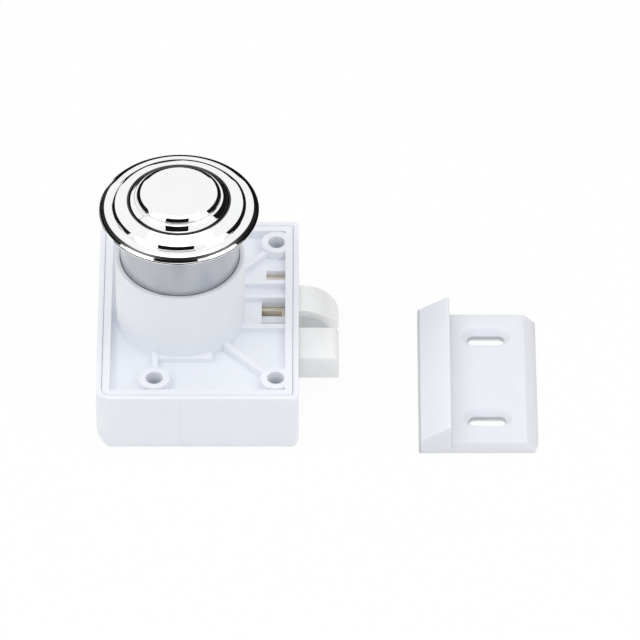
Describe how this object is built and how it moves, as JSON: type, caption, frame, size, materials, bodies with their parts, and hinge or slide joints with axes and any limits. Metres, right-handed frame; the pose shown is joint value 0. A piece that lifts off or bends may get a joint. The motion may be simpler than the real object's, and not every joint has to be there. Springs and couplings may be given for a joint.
{
  "type": "push button cabinet lock",
  "caption": "White moulded push-button cabinet lock with a chromed button and rosette on a tower, a deadbolt and a round-nosed spring catch, and a ramped strike plate.",
  "frame": {"origin": "where the button axis crosses the face that lies on the door's back", "axes": "+Z along the button axis, out through the door; +X the way the deadbolt and the catch shoot; Y along the lock's long side"},
  "size_m": [0.0876, 0.0527, 0.0456],
  "materials": {
    "white_nylon": "moulded white nylon, satin",
    "white_acetal": "moulded white acetal, slightly glossy",
    "natural_acetal": "natural acetal",
    "chrome_plate": "polished chrome plate on zinc",
    "satin_plate": "satin plated sleeve",
    "bright_steel": "zinc plated steel",
    "spring_steel": "drawn spring steel"
  },
  "bodies": {
    "lock_body": {"case": "white_nylon", "tower_plate": "white_nylon", "case_screws": "bright_steel", "return_spring": "spring_steel", "latch_wire": "spring_steel", "keeper_leaf": "spring_steel", "catch_spring": "spring_steel", "strike": "white_nylon"},
    "button": {"button_cap": "chrome_plate", "button_stud": "bright_steel", "plunger": "natural_acetal", "drive_pin": "bright_steel"},
    "rosette": {"rosette_ring": "chrome_plate", "rosette_sleeve": "satin_plate"},
    "deadbolt": {"deadbolt": "white_acetal"},
    "catch": {"catch": "white_acetal"}
  },
  "joints": [
    {"name": "button_press", "type": "slide", "parent": "lock_body", "child": "button", "axis": [0, 0, 1], "range_m": [-0.0008, 0.008], "deforming": ["return_spring", "latch_wire"]},
    {"name": "bolt_throw", "type": "slide", "parent": "lock_body", "child": "deadbolt", "axis": [1, 0, 0], "range_m": [-0.008, 0.0008]},
    {"name": "catch_slide", "type": "slide", "parent": "lock_body", "child": "catch", "axis": [1, 0, 0], "range_m": [-0.0075, 0], "stiffness_N_per_m": 400, "springref_m": 0.004, "deforming": ["catch_spring"]},
    {"name": "rosette_set", "type": "slide", "parent": "lock_body", "child": "rosette", "axis": [0, 0, 1], "range_m": [-0.009, 0]}
  ],
  "couplings": [
    {"joint": "bolt_throw", "follows": "button_press", "ratio": -1}
  ]
}
